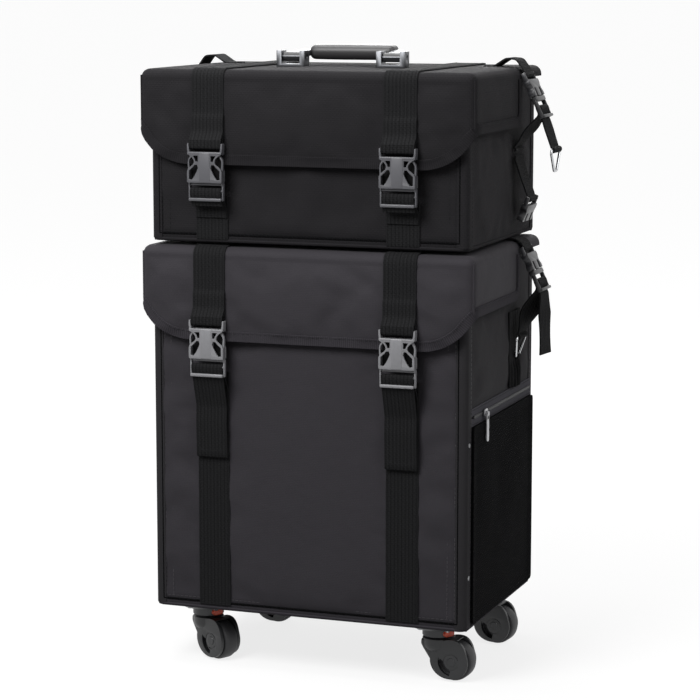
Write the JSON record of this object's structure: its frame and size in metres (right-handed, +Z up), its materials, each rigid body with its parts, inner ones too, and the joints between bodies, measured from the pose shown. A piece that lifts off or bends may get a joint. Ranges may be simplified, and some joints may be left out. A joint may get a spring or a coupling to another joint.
{
  "type": "two-part rolling case",
  "caption": "Soft-sided rolling case on swivel casters with a telescopic pull handle, flap lid and buckled straps, and a matching bag stacked on its lid.",
  "frame": {"origin": "centre of the bounding box's underside, on the floor under the wheels", "axes": "+X to the right seen from the front, -Y out of the front flap, +Z up"},
  "size_m": [0.4722, 0.3038, 0.6973],
  "materials": {
    "lower_fabric": "woven nylon",
    "upper_fabric": "woven nylon",
    "lining": "plain weave lining",
    "webbing": "ribbed webbing",
    "mesh": "fine mesh over fabric",
    "zip_tape": "zip tape with coil teeth",
    "zinc": "plated zinc alloy",
    "grey_plastic": "moulded acetal",
    "dark_plastic": "moulded acetal",
    "caster_plastic": "moulded nylon",
    "tread": "smooth tread",
    "red_plastic": "moulded",
    "tube_metal": "anodised",
    "screw_metal": "zinc plated",
    "bracket_metal": "satin"
  },
  "bodies": {
    "case": {"lower_front_panel": "lower_fabric", "lower_wall_panels": "lower_fabric", "lower_base_panel": "lower_fabric", "lower_lining": "lining", "lower_body_straps": "webbing", "side_pocket": "mesh", "pocket_zip": "zip_tape", "caster_sockets": "caster_plastic", "case_fasteners": "screw_metal", "trolley_tubes": "tube_metal", "trolley_brackets": "dark_plastic"},
    "zip_slider": {"zip_slider": "zinc"},
    "zip_pull": {"zip_pull": "zinc"},
    "front_left_fork": {"front_left_fork": "caster_plastic"},
    "front_left_wheel": {"front_left_wheel": "tread"},
    "front_left_release": {"front_left_release": "red_plastic"},
    "front_right_fork": {"front_right_fork": "caster_plastic"},
    "front_right_wheel": {"front_right_wheel": "tread"},
    "front_right_release": {"front_right_release": "red_plastic"},
    "rear_left_fork": {"rear_left_fork": "caster_plastic"},
    "rear_left_wheel": {"rear_left_wheel": "tread"},
    "rear_left_release": {"rear_left_release": "red_plastic"},
    "rear_right_fork": {"rear_right_fork": "caster_plastic"},
    "rear_right_wheel": {"rear_right_wheel": "tread"},
    "rear_right_release": {"rear_right_release": "red_plastic"},
    "trolley_middle": {"trolley_middle_tubes": "tube_metal"},
    "trolley_inner": {"trolley_inner_tubes": "tube_metal", "trolley_grip": "dark_plastic"},
    "trolley_button": {"trolley_button": "grey_plastic"},
    "lower_lid": {"lower_lid": "lower_fabric", "lower_lid_straps": "webbing", "lower_receivers": "grey_plastic", "lower_handle_brackets": "bracket_metal"},
    "lower_handle": {"lower_handle": "dark_plastic"},
    "lower_left_clip": {"lower_left_clip": "dark_plastic", "lower_left_tail": "webbing"},
    "lower_right_clip": {"lower_right_clip": "dark_plastic", "lower_right_tail": "webbing"},
    "upper_bag": {"upper_front_panel": "upper_fabric", "upper_wall_panels": "upper_fabric", "upper_base_panel": "upper_fabric", "upper_lining": "lining", "upper_body_straps": "webbing"},
    "upper_lid": {"upper_lid": "upper_fabric", "upper_lid_straps": "webbing", "upper_receivers": "grey_plastic", "upper_handle_brackets": "bracket_metal"},
    "upper_handle": {"upper_handle": "dark_plastic"},
    "upper_left_clip": {"upper_left_clip": "dark_plastic"},
    "upper_right_clip": {"upper_right_clip": "dark_plastic"},
    "lower_left_ring": {"lower_left_ring": "zinc"},
    "lower_left_side_strap": {"lower_left_side_strap": "webbing"},
    "upper_left_side_strap": {"upper_left_side_strap": "webbing"},
    "upper_left_ring": {"upper_left_ring": "zinc"},
    "upper_left_tie": {"upper_left_tie": "webbing"},
    "lower_right_ring": {"lower_right_ring": "zinc"},
    "lower_right_side_strap": {"lower_right_side_strap": "webbing"},
    "upper_right_side_strap": {"upper_right_side_strap": "webbing"},
    "upper_right_ring": {"upper_right_ring": "zinc"},
    "upper_right_tie": {"upper_right_tie": "webbing"}
  },
  "joints": [
    {"name": "zip_slide", "type": "slide", "parent": "case", "child": "zip_slider", "axis": [0, 1, 0], "range_m": [0, 0.168]},
    {"name": "zip_pull_hinge", "type": "hinge", "parent": "zip_slider", "child": "zip_pull", "pos_m": [0.1912, -0.07, 0.3015], "axis": [0, -1, 0], "range_deg": [0, 120]},
    {"name": "front_left_swivel", "type": "hinge", "parent": "case", "child": "front_left_fork", "pos_m": [-0.14, -0.084, 0.045], "axis": [0, 0, 1], "continuous": true},
    {"name": "front_left_spin", "type": "hinge", "parent": "front_left_fork", "child": "front_left_wheel", "pos_m": [-0.12146, -0.09386, 0.0225], "axis": [0.4695, 0.8829, 0], "continuous": true},
    {"name": "front_left_release_press", "type": "slide", "parent": "case", "child": "front_left_release", "axis": [-0.848, 0.5299, 0], "range_m": [0, 0.002], "stiffness_N_per_m": 400},
    {"name": "front_right_swivel", "type": "hinge", "parent": "case", "child": "front_right_fork", "pos_m": [0.14, -0.084, 0.045], "axis": [0, 0, 1], "continuous": true},
    {"name": "front_right_spin", "type": "hinge", "parent": "front_right_fork", "child": "front_right_wheel", "pos_m": [0.16095, -0.08546, 0.0225], "axis": [0.0698, 0.9976, 0], "continuous": true},
    {"name": "front_right_release_press", "type": "slide", "parent": "case", "child": "front_right_release", "axis": [-0.848, 0.5299, 0], "range_m": [0, 0.002], "stiffness_N_per_m": 400},
    {"name": "rear_left_swivel", "type": "hinge", "parent": "case", "child": "rear_left_fork", "pos_m": [-0.14, 0.084, 0.045], "axis": [0, 0, 1], "continuous": true},
    {"name": "rear_left_spin", "type": "hinge", "parent": "rear_left_fork", "child": "rear_left_wheel", "pos_m": [-0.119, 0.084, 0.0225], "axis": [0, 1, 0], "continuous": true},
    {"name": "rear_left_release_press", "type": "slide", "parent": "case", "child": "rear_left_release", "axis": [-0.848, 0.5299, 0], "range_m": [0, 0.002], "stiffness_N_per_m": 400},
    {"name": "rear_right_swivel", "type": "hinge", "parent": "case", "child": "rear_right_fork", "pos_m": [0.14, 0.084, 0.045], "axis": [0, 0, 1], "continuous": true},
    {"name": "rear_right_spin", "type": "hinge", "parent": "rear_right_fork", "child": "rear_right_wheel", "pos_m": [0.16089, 0.0818, 0.0225], "axis": [0.1045, 0.9945, 0], "continuous": true},
    {"name": "rear_right_release_press", "type": "slide", "parent": "case", "child": "rear_right_release", "axis": [-0.848, 0.5299, 0], "range_m": [0, 0.002], "stiffness_N_per_m": 400},
    {"name": "trolley_lower_stage", "type": "slide", "parent": "case", "child": "trolley_middle", "axis": [0, 0, 1], "range_m": [0, 0.3]},
    {"name": "trolley_upper_stage", "type": "slide", "parent": "trolley_middle", "child": "trolley_inner", "axis": [0, 0, 1], "range_m": [0, 0.3]},
    {"name": "trolley_button_press", "type": "slide", "parent": "trolley_inner", "child": "trolley_button", "axis": [0, 0, -1], "range_m": [0, 0.003], "stiffness_N_per_m": 500},
    {"name": "upper_bag_lift", "type": "slide", "parent": "case", "child": "upper_bag", "axis": [0, 0, 1], "range_m": [0, 0.48]},
    {"name": "lower_lid_hinge", "type": "hinge", "parent": "case", "child": "lower_lid", "pos_m": [0, 0.11975, 0.482], "axis": [-1, 0, 0], "range_deg": [0, 88]},
    {"name": "lower_handle_hinge", "type": "hinge", "parent": "lower_lid", "child": "lower_handle", "pos_m": [0, -0.014, 0.493], "axis": [1, 0, 0], "range_deg": [0, 90]},
    {"name": "upper_lid_hinge", "type": "hinge", "parent": "upper_bag", "child": "upper_lid", "pos_m": [0, 0.11975, 0.6783], "axis": [-1, 0, 0], "range_deg": [0, 88]},
    {"name": "upper_handle_hinge", "type": "hinge", "parent": "upper_lid", "child": "upper_handle", "pos_m": [0, -0.014, 0.6893], "axis": [1, 0, 0], "range_deg": [0, 90]},
    {"name": "lower_left_clip_slide", "type": "slide", "parent": "case", "child": "lower_left_clip", "axis": [0, 0, -1], "range_m": [0, 0.025]},
    {"name": "lower_right_clip_slide", "type": "slide", "parent": "case", "child": "lower_right_clip", "axis": [0, 0, -1], "range_m": [0, 0.025]},
    {"name": "upper_left_clip_slide", "type": "slide", "parent": "upper_bag", "child": "upper_left_clip", "axis": [0, 0, -1], "range_m": [0, 0.025]},
    {"name": "upper_right_clip_slide", "type": "slide", "parent": "upper_bag", "child": "upper_right_clip", "axis": [0, 0, -1], "range_m": [0, 0.025]},
    {"name": "lower_left_ring_hinge", "type": "hinge", "parent": "case", "child": "lower_left_ring", "pos_m": [-0.18975, 0.05, 0.349], "axis": [0, -1, 0], "range_deg": [0, 60]},
    {"name": "lower_left_side_strap_hinge", "type": "hinge", "parent": "lower_left_ring", "child": "lower_left_side_strap", "pos_m": [-0.19474, 0.05, 0.37248], "axis": [0, -1, 0], "range_deg": [0, 30]},
    {"name": "upper_left_side_strap_hinge", "type": "hinge", "parent": "upper_bag", "child": "upper_left_side_strap", "pos_m": [-0.1883, 0.05, 0.5863], "axis": [0, -1, 0], "range_deg": [0, 25]},
    {"name": "upper_left_ring_hinge", "type": "hinge", "parent": "upper_left_side_strap", "child": "upper_left_ring", "pos_m": [-0.2324, 0.05, 0.5863], "axis": [0, 1, 0], "range_deg": [-15, 40]},
    {"name": "upper_left_tie_hinge", "type": "hinge", "parent": "upper_bag", "child": "upper_left_tie", "pos_m": [-0.1883, 0.05, 0.5773], "axis": [0, 1, 0], "range_deg": [0, 20]},
    {"name": "lower_right_ring_hinge", "type": "hinge", "parent": "case", "child": "lower_right_ring", "pos_m": [0.18975, 0.05, 0.349], "axis": [0, 1, 0], "range_deg": [0, 60]},
    {"name": "lower_right_side_strap_hinge", "type": "hinge", "parent": "lower_right_ring", "child": "lower_right_side_strap", "pos_m": [0.19474, 0.05, 0.37248], "axis": [0, 1, 0], "range_deg": [0, 30]},
    {"name": "upper_right_side_strap_hinge", "type": "hinge", "parent": "upper_bag", "child": "upper_right_side_strap", "pos_m": [0.1883, 0.05, 0.5863], "axis": [0, 1, 0], "range_deg": [0, 25]},
    {"name": "upper_right_ring_hinge", "type": "hinge", "parent": "upper_right_side_strap", "child": "upper_right_ring", "pos_m": [0.2324, 0.05, 0.5863], "axis": [0, -1, 0], "range_deg": [-15, 40]},
    {"name": "upper_right_tie_hinge", "type": "hinge", "parent": "upper_bag", "child": "upper_right_tie", "pos_m": [0.1883, 0.05, 0.5773], "axis": [0, -1, 0], "range_deg": [0, 20]}
  ],
  "couplings": [
    {"joint": "lower_lid_hinge", "follows": "upper_bag_lift", "rad_per_m": 3.19},
    {"joint": "lower_handle_hinge", "follows": "upper_bag_lift", "rad_per_m": 3.27}
  ]
}
